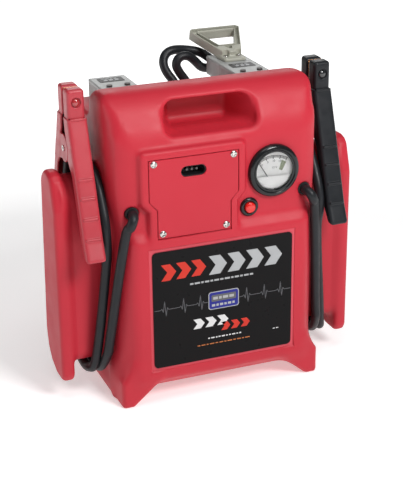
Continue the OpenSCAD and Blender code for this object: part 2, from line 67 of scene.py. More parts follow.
def at(x, y, z):
    """A point of the design, in mm, as a point of the frame, in metres."""
    return Vector((x * MM, FRONT + y * MM, z * MM))


def new_object(name, data):
    made = bpy.data.objects.new(name, data)
    bpy.context.scene.collection.objects.link(made)
    return made


# -------- camera, light, floor
CAMERA_AT = (-646.49, -1556.47, 918.85)
CAMERA_AZIMUTH = 21.53
CAMERA_ELEVATION = 22.52
CAMERA_ROLL = -0.63
CAMERA_LENS = 95.365
CAMERA_SENSOR = 36
CAMERA_REACH = 120
WORLD_STRENGTH = 0.09
LIT_POINT = Vector((0, 0, 0.25))
FLOOR_SIZE = 100
FLOOR_DROP = 0.0004
FLOOR_GLOW = (0.95, 0.42)
GLOW_SCALE = 0.45


def make_camera():
    """The picture's viewpoint, found from the object's straight edges."""
    data = bpy.data.cameras.new("camera")
    data.lens = CAMERA_LENS
    data.sensor_width = CAMERA_SENSOR
    data.clip_end = CAMERA_REACH
    camera = new_object("camera", data)
    turn = Matrix.Rotation(math.radians(-CAMERA_AZIMUTH), 4, "Z")
    tilt = Matrix.Rotation(math.radians(90 - CAMERA_ELEVATION), 4, "X")
    roll = Matrix.Rotation(math.radians(CAMERA_ROLL), 4, "Z")
    camera.matrix_world = Matrix.Translation(at(*CAMERA_AT)) @ turn @ tilt @ roll
    bpy.context.scene.camera = camera


def area_light(name, place, size, watts):
    """A soft box that looks at the middle of the object."""
    data = bpy.data.lights.new(name, "AREA")
    data.shape = "RECTANGLE"
    data.size, data.size_y = size
    data.energy = watts
    lamp = new_object(name, data)
    lamp.location = place
    lamp.rotation_euler = (LIT_POINT - Vector(place)).to_track_quat("-Z", "Y").to_euler()


def make_studio():
    """Soft boxes in front, at the left, above and behind, in a dim room."""
    world = bpy.data.worlds.new("studio")
    world.use_nodes = True
    background = world.node_tree.nodes["Background"]
    background.inputs["Color"].default_value = (1, 1, 1, 1)
    background.inputs["Strength"].default_value = WORLD_STRENGTH
    bpy.context.scene.world = world
    bpy.context.scene.view_settings.view_transform = "Standard"
    area_light("key", (0.6, -1.7, 1.7), (0.7, 0.6), 33.5)
    area_light("left", (-2.0, 0.4, 0.7), (0.8, 1.2), 6)
    area_light("top", (-0.1, -0.7, 2.1), (1.2, 0.8), 11)
    area_light("rim", (0.5, 1.9, 1.2), (1.4, 1.0), 8)


def make_floor():
    """A pale floor that glows a little less under the object, where its shadow falls."""
    bpy.ops.mesh.primitive_plane_add(size=FLOOR_SIZE, location=(0, 0, -FLOOR_DROP))
    floor = bpy.context.object
    floor.name = "floor"
    paint = Paint("floor", (0.93, 0.93, 0.93), 0.6, specular=0.2)
    reach = paint.node("Mapping", {"Scale": (GLOW_SCALE,) * 3, "Vector": paint.place})
    glow = paint.node("TexGradient", {"Vector": reach.outputs["Vector"]},
                      gradient_type="SPHERICAL")
    paint.feed(paint.shader, {
        "Emission Color": (1, 1, 1, 1),
        "Emission Strength": paint.ramp(glow.outputs["Fac"], *FLOOR_GLOW)})
    paint.speckle(scale=6, amount=0.02)
    floor.data.materials.append(paint.material)


# -------- materials
PAINTS = {}
COAT_ROUGHNESS = 0.12
NOISE_RANGE = (0.3, 0.7)
EDGE_RANGE = (0.52, 0.62)


class Paint:
    """A procedural Principled material, built up by small steps and kept in PAINTS."""

    def __init__(self, name, colour, roughness, metallic=0.0, specular=0.5, coat=0.0):
        self.material = PAINTS[name] = bpy.data.materials.new(name)
        self.material.use_nodes = True
        self.tree = self.material.node_tree
        self.shader = self.tree.nodes["Principled BSDF"]
        self.colour, self.roughness = colour, roughness
        self.feed(self.shader, {
            "Base Color": (*colour, 1), "Roughness": roughness, "Metallic": metallic,
            "Specular IOR Level": specular, "Coat Weight": coat,
            "Coat Roughness": COAT_ROUGHNESS})
        self.place = self.node("TexCoord").outputs["Object"]
        self.bump_out = None

    def node(self, kind, inputs=None, **settings):
        made = self.tree.nodes.new("ShaderNode" + kind)
        for key, value in settings.items():
            setattr(made, key, value)
        self.feed(made, inputs or {})
        return made

    def feed(self, node, inputs):
        """Sets each input to its value, or links it where it's another node's output."""
        for socket, value in inputs.items():
            if isinstance(value, bpy.types.NodeSocket):
                self.tree.links.new(value, node.inputs[socket])
            else:
                node.inputs[socket].default_value = value

    def noise(self, scale, detail=4.0, stretch=(1, 1, 1)):
        mapping = self.node("Mapping", {"Scale": stretch, "Vector": self.place})
        return self.node("TexNoise", {"Scale": scale, "Detail": detail,
                                      "Vector": mapping.outputs["Vector"]}).outputs["Fac"]

    def ramp(self, source, low, high, span=NOISE_RANGE):
        """The source, over the span given, spread between two values."""
        return self.node("MapRange", {"From Min": span[0], "From Max": span[1], "To Min": low,
                                      "To Max": high, "Value": source}).outputs["Result"]

    def mix_colour(self, factor, other):
        """The colour so far, mixed with another one by the factor."""
        before = self.shader.inputs["Base Color"].links
        base = before[0].from_socket if before else (*self.colour, 1)
        mix = self.node("Mix", {"Factor": factor, "A": base, "B": (*other, 1)}, data_type="RGBA")
        self.feed(self.shader, {"Base Color": mix.outputs["Result"]})
        return self

    def speckle(self, scale, amount):
        """Slow changes of lightness over the surface."""
        darker = tuple(max(c * (1 - 5 * amount), 0) for c in self.colour)
        return self.mix_colour(self.ramp(self.noise(scale), 0, 0.6), darker)

    def uneven_gloss(self, scale, spread):
        rough = self.ramp(self.noise(scale, 3), self.roughness - spread, self.roughness + spread)
        self.feed(self.shader, {"Roughness": rough})
        return self

    def grain(self, scale, depth, detail=2.0, stretch=(1, 1, 1)):
        """Fine relief: depth in mm, scale in cells a metre."""
        bump = self.node("Bump", {"Distance": depth * MM, "Strength": 1.0,
                                  "Height": self.noise(scale, detail, stretch)})
        if self.bump_out is not None:
            self.feed(bump, {"Normal": self.bump_out})
        self.bump_out = bump.outputs["Normal"]
        self.feed(self.shader, {"Normal": self.bump_out})
        return self

    def painted_edge_highlights(self, lighter, amount):
        """Painted highlights: edges painted lighter, found from the mesh's own curvature."""
        curvature = self.node("NewGeometry").outputs["Pointiness"]
        return self.mix_colour(self.ramp(curvature, 0, amount, EDGE_RANGE), lighter)


# name, colour, roughness, metallic, speckle's scale and amount, grain's own numbers
PLAIN_PAINTS = (
    ("dull_steel", (0.16, 0.15, 0.145), 0.5, 1.0, (250, 0.05), (1200, 0.01)),
    ("spring_steel", (0.50, 0.50, 0.50), 0.3, 1.0, (200, 0.05), (1200, 0.01, 2.0, (1, 1, 8))),
    ("brass", (0.70, 0.50, 0.20), 0.25, 1.0, (200, 0.04), (1400, 0.01)),
    ("lead_metal", (0.45, 0.45, 0.46), 0.38, 1.0, (120, 0.05), (800, 0.02)),
    ("zinc_steel", (0.55, 0.56, 0.57), 0.35, 1.0, (60, 0.05), (600, 0.02, 2.0, (1, 6, 1))),
    ("contact_silver", (0.74, 0.73, 0.70), 0.22, 1.0, (150, 0.05), (900, 0.01, 2.0, (1, 8, 1))),
    ("black_plastic", (0.016, 0.017, 0.019), 0.42, 0.0, (60, 0.05), (1200, 0.03)),
    ("battery_case", (0.05, 0.055, 0.06), 0.5, 0.0, (20, 0.03), (700, 0.05)),
    ("tray_grey", (0.10, 0.105, 0.11), 0.8, 0.0, (80, 0.04), (500, 0.3)),
    ("rubber_black", (0.012, 0.012, 0.012), 0.6, 0.0, (90, 0.05), (900, 0.04)),
    ("dial_white", (0.86, 0.86, 0.85), 0.45, 0.0, (90, 0.008), (1500, 0.005)),
)


def make_paints():
    """Makes every paint, named after the slot or the ink that it serves."""
    for name, colour, roughness, metallic, speckle, grain in PLAIN_PAINTS:
        Paint(name, colour, roughness, metallic).speckle(*speckle).grain(*grain)
    # Lighter edge colours below are painted highlights along convex edges.
    red = Paint("case_red", (0.55, 0.024, 0.042), 0.47, specular=0.3)
    red.speckle(7, 0.02).uneven_gloss(30, 0.05).painted_edge_highlights((0.78, 0.14, 0.18), 0.55)
    red.grain(900, 0.05, 3).grain(140, 0.06, 2)
    plate = Paint("plate_red", (0.54, 0.022, 0.040), 0.42, specular=0.3)
    plate.speckle(9, 0.02).uneven_gloss(40, 0.05).painted_edge_highlights((0.80, 0.18, 0.22), 0.5)
    plate.grain(1100, 0.03, 3)
    steel = Paint("bright_steel", (0.66, 0.65, 0.62), 0.24, metallic=1.0)
    steel.speckle(300, 0.04).uneven_gloss(500, 0.08).grain(1500, 0.01)
    film_paint("label_black", (0.006, 0.0055, 0.006))
    meter = Paint("meter_black", (0.010, 0.011, 0.012), 0.16, specular=0.4)
    meter.speckle(50, 0.04).uneven_gloss(90, 0.04).grain(800, 0.006)
    Paint("needle_black", (0.02, 0.02, 0.02), 0.4).grain(900, 0.004)
    button = Paint("button_red", (0.72, 0.015, 0.012), 0.2, specular=0.55, coat=0.3)
    button.speckle(80, 0.03).grain(900, 0.006)
    copper = Paint("copper", (0.52, 0.25, 0.12), 0.34, metallic=1.0)
    copper.mix_colour(copper.ramp(copper.noise(160), 0, 0.6), (0.22, 0.10, 0.05))
    copper.uneven_gloss(200, 0.1).grain(1000, 0.02)
    board = Paint("board_green", (0.012, 0.10, 0.045), 0.3, coat=0.2)
    board.speckle(150, 0.06).grain(700, 0.05)
    housing = Paint("housing_grey", (0.40, 0.41, 0.40), 0.38, specular=0.5)
    housing.speckle(40, 0.03).uneven_gloss(120, 0.06).painted_edge_highlights((0.66, 0.67, 0.66), 0.6)
    housing.grain(900, 0.03)
    olive = Paint("handle_olive", (0.45, 0.45, 0.38), 0.4, specular=0.45)
    olive.speckle(30, 0.03).uneven_gloss(80, 0.05).painted_edge_highlights((0.56, 0.56, 0.48), 0.7)
    olive.grain(1100, 0.03)
    cable = Paint("cable_black", (0.014, 0.016, 0.019), 0.42, specular=0.3)
    cable.speckle(50, 0.06).uneven_gloss(90, 0.08)
    cable.grain(220, 0.12, 3).grain(1300, 0.02)
    # Each clamp's edge colour is a painted highlight along its convex edges.
    for clamp, amount, edge, highlight_amount in (
            (Paint("clamp_red", (0.50, 0.045, 0.062), 0.36, specular=0.4), 0.03,
             (0.72, 0.20, 0.22), 0.6),
            (Paint("clamp_black", (0.018, 0.020, 0.023), 0.34, specular=0.22), 0.05,
             (0.09, 0.095, 0.10), 0.7)):
        clamp.speckle(25, amount).uneven_gloss(90, 0.06).painted_edge_highlights(edge, highlight_amount)
        clamp.grain(160, 0.05, 2).grain(1200, 0.02)
    for name, colour in (("bolt_red", (0.42, 0.03, 0.035)), ("bolt_black", (0.016, 0.018, 0.020))):
        bolt = Paint(name, colour, 0.14, specular=0.7, coat=0.6)
        bolt.speckle(300, 0.05).grain(900, 0.01)
    for name, colour in INKS.items():
        film_paint(name, colour)
    lens_paint()


INKS = {
    "ink_red": (0.62, 0.045, 0.03),
    "ink_white": (0.72, 0.72, 0.72),
    "ink_silver": (0.42, 0.43, 0.44),
    "ink_grey": (0.13, 0.13, 0.14),
    "ink_blue": (0.03, 0.035, 0.25),
    "ink_orange": (0.55, 0.18, 0.06),
    # painted shade for the dial's right end, where the bezel shades it
    "olive_painted_shade": (0.26, 0.29, 0.20),
    "ink_black": (0.03, 0.03, 0.03),
}


def film_paint(name, colour):
    """Printed film: smooth, with a faint ripple."""
    film = Paint(name, colour, 0.3, specular=0.11)
    film.speckle(60, 0.02).uneven_gloss(70, 0.03)
    film.grain(60, 0.05, 1)


def lens_paint():
    lens = Paint("lens", (1.0, 1.0, 1.0), 0.03, specular=0.5)
    lens.feed(lens.shader, {"Transmission Weight": 1.0, "IOR": 1.2})
    lens.grain(30, 0.004, 1)


# -------- distance fields
# A field is the distance from a shape's surface in mm, below nought inside the shape.
both = np.maximum  # the part common to two fields, with a sharp edge
either = np.minimum  # two fields together, with a sharp corner


def meet(a, b, r):
    """The part common to two fields, its edge rounded to radius r."""
    corner = np.sqrt(np.maximum(a + r, 0) ** 2 + np.maximum(b + r, 0) ** 2)
    return np.minimum(-r, np.maximum(a, b)) + corner


def join(a, b, r):
    """Two fields together, with a fillet of radius r between them."""
    corner = np.sqrt(np.maximum(r - a, 0) ** 2 + np.maximum(r - b, 0) ** 2)
    return np.maximum(r, np.minimum(a, b)) - corner


def block(u, v, half_u, half_v, r):
    """A rectangle about nought with round corners."""
    return meet(np.abs(u) - half_u, np.abs(v) - half_v, r)


def outline(u, v, points):
    """The signed distance to a closed polygon, below nought inside it."""
    near = np.full(np.broadcast(u, v).shape, 1e9, np.float32)
    sign = np.ones(near.shape, np.float32)
    for (ax, ay), (bx, by) in zip(points, points[-1:] + points[:-1]):
        ex, ey = bx - ax, by - ay
        t = np.clip(((u - ax) * ex + (v - ay) * ey) / (ex * ex + ey * ey), 0, 1)
        near = np.minimum(near, (u - ax - t * ex) ** 2 + (v - ay - t * ey) ** 2)
        above, below = v >= ay, v < by
        turn = ex * (v - ay) > ey * (u - ax)
        crossed = (above & below & turn) | (~above & ~below & ~turn)
        sign = np.where(crossed, -sign, sign)
    return sign * np.sqrt(near)


def round_bar(u, v, r):
    """An endless round bar along the axis that u and v leave out."""
    return np.sqrt(u ** 2 + v ** 2) - r


def segment(x, y, z, a, b, r):
    """A round-ended rod from a to b."""
    ax, ay, az = a
    ex, ey, ez = (q - p for p, q in zip(a, b))
    along = (x - ax) * ex + (y - ay) * ey + (z - az) * ez
    t = np.clip(along / (ex * ex + ey * ey + ez * ez), 0, 1)
    return np.sqrt((x - ax - t * ex) ** 2 + (y - ay - t * ey) ** 2 + (z - az - t * ez) ** 2) - r


def mesh_object(name, points, faces, paint, body, smooth=True):
    """A mesh piece with one paint that rides on a body."""
    mesh = bpy.data.meshes.new(name)
    mesh.from_pydata(points, [], faces)
    mesh.validate()
    mesh.update()
    if smooth:
        mesh.shade_smooth()
    made = new_object(name, mesh)
    mesh.materials.append(PAINTS[paint])
    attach(made, body)
    return made


def normals_outwards(mesh):
    """Turns every face of a closed mesh to the outside."""
    bm = bmesh.new()
    bm.from_mesh(mesh)
    bmesh.ops.recalc_face_normals(bm, faces=bm.faces)
    bm.to_mesh(mesh)
    bm.free()


def sharp_shading(piece, degrees):
    """Smooth shading, except across edges sharper than the angle."""
    bm = bmesh.new()
    bm.from_mesh(piece.data)
    limit = math.radians(degrees)
    for edge in bm.edges:
        edge.smooth = len(edge.link_faces) == 2 and edge.calc_face_angle(0) < limit
    for face in bm.faces:
        face.smooth = True
    bm.to_mesh(piece.data)
    bm.free()


def solid(name, low, high, steps, field, paint, body, adapt=0.02, sharp=50):
    """A closed mesh where field(x, y, z) is nought.
"""
    step = steps[1]
    axes = [
        np.arange(a - 2.5 * step, b + 3.5 * step, step, dtype=np.float32)
        for a, b in zip(low, high)
    ]
    x, y, z = np.meshgrid(*axes, indexing="ij", sparse=True)
    values = np.clip(field(x, y, z) / step, -3, 3).astype(np.float32)
    grid = openvdb.FloatGrid(3.0)
    grid.copyFromArray(np.ascontiguousarray(values))
    points, triangles, quads = grid.convertToPolygons(0.0, adapt)
    points = points * step + np.array([a[0] for a in axes])
    points = points * MM + np.array([0, FRONT, 0])
    faces = [tuple(face[::-1]) for face in triangles.tolist() + quads.tolist()]
    made = mesh_object(name, points.tolist(), faces, paint, body)
    sharp_shading(made, sharp)
    return made


def shown(piece, slot, *nodes):
    """piece stands for CAD nodes, which are hidden; slot is not used."""
    if nodes:
        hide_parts(*nodes)
    return piece


# -------- case
HALF = 152
WING_OUT = 223
DEPTH = 202
CREST = 443
DECK = 402
# the label panel, and the meter's panel, which stands further back
PANEL_HALF = 128
PANEL_TOP = 248
SET_BACK = 10
LABEL_HALF = (104.4, 87.15)
LABEL_Z = 144
# the screwed plate: half widths above and below its side steps
PLATE_X = -41.5
PLATE_HALF = (64.3, 53.0)
PLATE_Z = (250, 362)
PLATE_JOG = (292, 304)
# the hand pocket, and the places in X and Z of the lead hole, meter and button
GRIP_X = -8
GRIP_Z = (386, 429)
HOLE = (127, 288)
METER = (78.4, 322.6)
PIVOT_Z = 300
BUTTON = (42.5, 274)
HOLE_R, METER_R, BUTTON_R = 9.2, 31, 9
# the bobbin: its core's ends in X, middle and half size in Y and Z, and its flange
CORE_X = (135, 208)
CORE_MIDDLE = (90, 191.5)
CORE_HALF = (33, 136.5)
FLANGE_X = 213.5
FLANGE_HALF = 9.5


def slope(y, z, point, normal):
    """The distance in front of a plane that runs across the case."""
    return (y - point[0]) * normal[0] + (z - point[1]) * normal[1]


def jogged(grow, bottom):
    """The outline of the front plate, grown outwards, with its two side steps."""
    up, low = PLATE_HALF[0] + grow, PLATE_HALF[1] + grow
    left = [(-low, bottom), (-low, PLATE_JOG[0]), (-up, PLATE_JOG[1]), (-up, PLATE_Z[1] + grow)]
    return [(PLATE_X + x, z) for x, z in left] + [(PLATE_X - x, z) for x, z in left[::-1]]


def case_body(ax, y, z):
    """The case between its wings: front panel, slants, crest, rear deck and skirt."""
    side = ax - HALF
    high = np.clip((z - 262) / 50, 0, 1)
    slant = (ax - PANEL_HALF) * 0.817 - y * 0.577 - 3 * high
    upper = meet(SET_BACK - y, slope(y, z, (10, 389), (-0.848, 0.53)), 10)
    panel = meet(-y, slope(y, z, (0, PANEL_TOP), (-0.64, 0.768)), 5)
    front = meet(join(upper, panel, 7), slant, 7 + 8 * high)
    crest = z - CREST + 0.004 * (y - 66) ** 2
    ridge = meet(crest, slope(y, z, (112, 434), (0.968, 0.252)), 12)
    top = join(meet(ridge, side, 14), meet(z - DECK, side, 8), 6)
    back = meet(y - DEPTH, slope(y, z, (DEPTH, 16), (0.675, -0.737)), 6)
    under = meet(slope(y, z, (8, 32), (-0.6, -0.8)), 5 - z, 12)
    whole = meet(meet(top, back, 8), meet(front, under, 5), 16)
    return both(whole, side)


def bobbin(ax, y, z):
    """The core that a clamp lead is wound on, and the flange outside it."""
    round_r = np.where(z > 190, 32.9, 22)
    core = meet(np.abs(y - CORE_MIDDLE[0]) - CORE_HALF[0],
                np.abs(z - CORE_MIDDLE[1]) - CORE_HALF[1], round_r)
    core = both(core, both(ax - CORE_X[1], CORE_X[0] - ax))
    turn = [math.pi * i / 16 for i in range(9)]
    edge = [(52, 42), (56, 34), (62, 31), (88, 31), (112, 41), (128, 60), (134, 88)]
    edge += [(92 + 26 * math.cos(t), 311 + 26 * math.sin(t)) for t in turn]
    edge += [(82, 337), (72, 334), (65, 327), (52, 288)]
    flange = meet(outline(y, z, edge), np.abs(ax - FLANGE_X) - FLANGE_HALF, 7)
    return join(core, flange, 8)


def foot(ax, y, z):
    """The splayed front foot, the rear foot and the rail between them."""
    front = outline(ax, z, [(145, 4), (136, 4), (112, 24), (98, 44), (128, 60), (145, 36)]) - 6
    front = meet(front, np.abs(y - 29) - 26, 8)
    rear = outline(ax, z, [(145, 4), (128, 4), (116, 14), (116, 30), (145, 30)]) - 4
    rear = meet(rear, np.abs(y - 174) - 18, 6)
    rail = meet(np.abs(ax - 143) - 8, both(-z, z - 24), 4)
    rail = meet(rail, np.abs(y - 110) - 70, 6)
    return either(join(front, rail, 8), rear)


def boss(x, y, z):
    """The raised frame round the front plate."""
    soft = 8
    rim = outline(x, z, jogged(12 - soft, 232)) - soft
    return both(meet(rim, -y, 6), y - 24)


def grip(x, y, z):
    """The hand pocket in the slope under the crest."""
    shape = [(-58, -20), (58, -20), (58, 26), (38, 74), (-38, 74), (-58, 26)]
    plan = outline(x - GRIP_X, y, shape) - 8
    return meet(plan, np.abs(z - sum(GRIP_Z) / 2) - (GRIP_Z[1] - GRIP_Z[0]) / 2, 12)


def case_field(x, y, z):
    """The whole moulding, with its pocket and the holes for leads, meter and button."""
    ax = np.abs(x)
    field = join(case_body(ax, y, z), bobbin(ax, y, z), 9)
    field = join(field, boss(x, y, z), 6)
    field = join(field, foot(ax, y, z), 12)
    field = meet(field, -grip(x, y, z), 7)
    scoop = segment(ax, y, z, (134, 3, 280), (152, 2, 236), 11)
    field = meet(field, -scoop, 6)
    hole = round_bar(ax - HOLE[0], z - HOLE[1], HOLE_R)
    field = meet(field, -both(hole, y - 40), 2.5)
    meter = round_bar(x - METER[0], z - METER[1], METER_R)
    button = round_bar(x - BUTTON[0], z - BUTTON[1], BUTTON_R)
    field = both(field, -both(either(meter, button), y - 60))
    return both(field, -z)


def prism_parts(outlines, y_front, y_back, place=at, grow_front=0.0):
    """The points and faces of closed prisms through outlines in X and Z."""
    points, faces = [], []
    for shape in outlines:
        first, n = len(points), len(shape)
        cx, cz = (sum(values) / n for values in zip(*shape))
        for y, grow in ((y_front, grow_front), (y_back, 0)):
            points += [place(x + math.copysign(grow, x - cx), y, z + math.copysign(grow, z - cz))
                       for x, z in shape]
        faces.append(tuple(range(first, first + n)))
        faces.append(tuple(range(first + 2 * n - 1, first + n - 1, -1)))
        faces += [(first + i, first + i + n, first + (i + 1) % n + n, first + (i + 1) % n)
                  for i in range(n)]
    return points, faces


def cutter(name, shape, y_front, y_back, grow_front=0.0):
    """A prism for carve() to cut out of a piece."""
    points, faces = prism_parts([shape], y_front, y_back, grow_front=grow_front)
    mesh = bpy.data.meshes.new(name)
    mesh.from_pydata(points, [], faces)
    normals_outwards(mesh)
    return new_object(name, mesh)


def carve(piece, tool):
    """Cuts the tool out of the piece and throws the tool away."""
    cut = piece.modifiers.new("cut", "BOOLEAN")
    cut.operation = "DIFFERENCE"
    cut.solver = "MANIFOLD"
    cut.object = tool
    bake(piece)
    bpy.data.objects.remove(tool)


def bake(piece):
    """Turns the piece's modifiers into its mesh."""
    depsgraph = bpy.context.evaluated_depsgraph_get()
    mesh = bpy.data.meshes.new_from_object(piece.evaluated_get(depsgraph))
    piece.modifiers.clear()
    piece.data = mesh


def rectangle(x, z, half_x, half_z):
    """A rectangle about (x, z), as an outline."""
    return [(x - half_x, z - half_z), (x + half_x, z - half_z),
            (x + half_x, z + half_z), (x - half_x, z + half_z)]


def make_case():
    """The moulded case, with the label's and the plate's beds cut into it."""
    case = solid("case_moulding", (-WING_OUT, 0, 0), (WING_OUT, DEPTH, CREST), (3.0, 1.7),
                 case_field, "case_red", "root")
    label_bed = rectangle(0, LABEL_Z, LABEL_HALF[0] + 4, LABEL_HALF[1] + 4)
    carve(case, cutter("label_cut", label_bed, -3, 0.9, 2.6))
    carve(case, cutter("plate_cut", jogged(0.7, PLATE_Z[0] - 0.7), -3, 2.9, 0.6))
    carve(case, cutter("window_cut", rectangle(PLATE_X, 308, 42, 46), 1, 29))
    sharp_shading(case, 50)
    shown(case, "case_red", "case")


# -------- leads
LEAD_D = 13.5
# the middle line of the right clamp lead, from its hole to its lug
CLAMP_ROUTE = [
    (127, 16, 288), (127, 6, 288), (129.5, -2, 285.5), (134, -4, 276), (141, 4.5, 252),
    (158, 29.5, 104), (162, 35, 74), (167, 58, 46), (167, 100, 44),
    (164, 126, 58), (160, 131.5, 84), (159.4, 132, 290), (159.4, 129, 311), (159.4, 119, 324),
    (159.4, 106, 333), (159.4, 90, 336), (159.4, 74, 333), (159.4, 61, 324), (159.4, 50, 311),
    (159.4, 31, 278), (159.4, 26, 250), (159.4, 32, 208), (174, 46, 72),
    (181, 64, 45), (181.5, 106, 45), (181.5, 128, 64), (181, 132, 86), (180.5, 132, 290),
    (180.5, 129, 316), (180.5, 117, 346), (180.5, 110.5, 361)]
# the middle lines of the two selector leads, from the plug to their glands
SELECTOR_ROUTES = [
    [(88, 228, 416), (88, 242, 416), (83.5, 256, 422.5), (71, 265, 430.5), (50, 267, 435.5),
     (31, 263, 438), (19, 260.5, 435.5), (12, 257, 428), (10.5, 253, 418), (14.5, 248.5, 407),
     (22.5, 243.5, 394), (30, 235, 371), (32, 219.5, 353.3), (32, 205, 352)],
    [(112, 228, 416), (112, 244, 415), (105.5, 257, 409), (90, 262, 405), (73, 258, 408.5),
     (58, 250, 422), (48, 247, 430), (38, 246, 431.8), (30, 245.2, 427.8), (27, 244.6, 419),
     (32, 243.8, 407.5), (41, 241.5, 394), (53, 234, 370), (56, 219.5, 353.3), (56, 205, 352)]]


def smooth_route(points, spacing=3.0):
    """The route's points on one smooth curve, about evenly spaced, in mm."""
    p = [np.array(q, float) for q in points]
    p = [2 * p[0] - p[1]] + p + [2 * p[-1] - p[-2]]
    line = []
    for a, b, c, d in zip(p, p[1:], p[2:], p[3:]):
        n = max(2, round(np.linalg.norm(c - b) / spacing))
        for i in range(n):
            t = i / n
            line.append(0.5 * (2 * b + (c - a) * t + (2 * a - 5 * b + 4 * c - d) * t * t
                               + (3 * b - a - 3 * c + d) * t ** 3))
    return line + [p[-2]]


def length_of(line):
    """The length of a line of points, in mm."""
    return sum(float(np.linalg.norm(b - a)) for a, b in zip(line, line[1:]))


def tube(name, line, radius, paint, body, sides=20):
    """A round tube along a line of points in mm."""
    points, faces = [], []
    side = None
    for i, here in enumerate(line):
        ahead = line[min(i + 1, len(line) - 1)] - line[max(i - 1, 0)]
        ahead = ahead / np.linalg.norm(ahead)
        if side is None:
            side = np.cross(ahead, (0.3, 0.2, 0.9))
        side = side - ahead * float(side @ ahead)
        side = side / np.linalg.norm(side)
        other = np.cross(ahead, side)
        for k in range(sides):
            turn = 2 * math.pi * k / sides
            points.append(at(*(here + radius * (math.cos(turn) * side + math.sin(turn) * other))))
    for i in range(len(line) - 1):
        for k in range(sides):
            a, b = i * sides + k, i * sides + (k + 1) % sides
            faces.append((a, b, b + sides, a + sides))
    faces.append(tuple(range(sides))[::-1])
    faces.append(tuple(len(points) - sides + k for k in range(sides)))
    return mesh_object(name, points, faces, paint, body)


def unparented(piece):
    """The piece without its body, its transform cleared."""
    piece.parent = None
    piece.matrix_world = Matrix.Identity(4)
    return piece


def make_clamp_lead(side, colour):
    line = smooth_route([(side * x, y, z) for x, y, z in CLAMP_ROUTE])
    lead = tube(f"clamp_lead_{colour}", line, LEAD_D / 2, "cable_black", "root")
    shown(lead, "cable_black", f"lead_{colour}")
    at(*line[0])
    length_of(line) * MM
    [at(*p) for p in line]


def make_selector_lead(route, side):
    line = smooth_route(route)
    lead = unparented(tube(f"selector_cable_{side}", line, LEAD_D / 2, "cable_black", "root"))
    shown(lead, "cable_black", f"selector_lead_{side}")
    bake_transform(lead)
    at(*line[-1])
    length_of(line) * MM
    [at(*p) for p in line[::-1]]


# -------- clamps
CLAMP_SIDES = ((-1, "red"), (1, "black"))
CLAMP_X = 180.5
PIVOT = (92, 365)
CLAMP_HALF = 13.75
ARM_NORMAL_Y = 0.948
PIN_HOLE_R = 4.06
BOLT_Z = 67
NECK_Z = 45
GRIP_END = -137
RIBS = (-31, -55, -81, -107)


def face_at(z):
    """How far an arm's outer face stands in front of the pivot, at a height from it."""
    return -27 - np.maximum(43 - z, 0) * 0.337


def arm_shell(x, y, z):
    """The channel that an arm's grip and nose are moulded as, about the clamp's pivot."""
    outer = (face_at(z) - 0.12 * np.maximum(-112 - z, 0) - y) * ARM_NORMAL_Y
    inner_line = [(-120, 100), (-3.4, 100), (-3.4, 50), (-6, 44), (-9, 26), (-16, 12),
                  (-16, -12), (face_at(-30) + 18, -30), (face_at(-60) + 17, -60),
                  (face_at(-114) + 15.5, -114), (face_at(GRIP_END) + 7, GRIP_END),
                  (face_at(GRIP_END) + 7, -160), (-120, -160)]
    wide = np.abs(x) - np.where(z > NECK_Z, 12.0, CLAMP_HALF)
    shell = meet(outer + np.where(z > NECK_Z, 3.0, 0), wide, 4.5)
    shell = meet(shell, outline(y, z, inner_line), 1.5)
    shell = meet(shell, both(z - 85, GRIP_END - z), 5)
    hollow = both(np.abs(x) - 10.6, (face_at(z) + 4 - y) * ARM_NORMAL_Y)
    hollow = both(hollow, both(z - 46, -118 - z))
    return meet(shell, -hollow, 0.8)


def arm_field(x, y, z, rear):
    """One arm, the front way round, with its ears, ribs, neck and bolt recess."""
    field = arm_shell(x, y, z)
    disc = round_bar(y, z, 0)
    if not rear:
        field = both(field, -both(disc - 21, 10.4 - np.abs(x)))
    ear_x, ear_r = (12.3, 19.5) if rear else (9.0, 15)
    cheek = np.abs(np.abs(x) - ear_x) - 1.4
    web = outline(y, z, [(-2, 16), (-26, 24), (face_at(0) + 4, 0), (face_at(-24) + 4, -24),
                         (-2, -16)])
    ear = either(meet(disc - ear_r, cheek, 1.0), meet(web, cheek, 0.8))
    field = join(field, ear, 1.5)
    for rib in RIBS:
        bar = round_bar(z - rib, y - face_at(rib) + 0.5, 1.9)
        field = join(field, meet(bar, np.abs(x) - 10.5, 1.2), 0.7)
    neck = round_bar(z - NECK_Z, y - face_at(NECK_Z), 0.9)
    field = join(field, both(neck, np.abs(x) - 11), 1.0)
    recess = round_bar(x, z - BOLT_Z, 6.6)
    field = meet(field, -both(recess, y + 21.5), 1.2)
    return both(field, -round_bar(y, z, PIN_HOLE_R))


def make_arm(side, colour, name, way):
    """One insulated arm; way is -1 for the front one and 1 for the rear one."""
    before, behind = (90, 20) if way < 0 else (20, 90)
    low = (CLAMP_X * side - 14, PIVOT[0] - before, PIVOT[1] - 138)
    high = (CLAMP_X * side + 14, PIVOT[0] + behind, PIVOT[1] + 86)

    def field(x, y, z):
        return arm_field(x - side * CLAMP_X, -way * (y - PIVOT[0]), z - PIVOT[1], way > 0)

    arm = solid(f"{colour}_{name}_grip", low, high, (1.6, 0.8), field, f"clamp_{colour}",
                f"{colour}_{name}", adapt=0.015)
    shown(arm, f"clamp_{colour}", f"{colour}_{name}_arm")


def dome(name, centre, radius, height, axis, paint, body):
    """A low domed bolt head on an axis, turned from a profile."""
    rim = 1.0
    profile = [(radius, 0)]
    profile += [(radius * math.cos(t), rim + (height - rim) * math.sin(t))
                for t in [math.pi / 2 * i / 10 for i in range(10)]]
    return turned(name, profile + [(0, height)], centre, axis, paint, body)


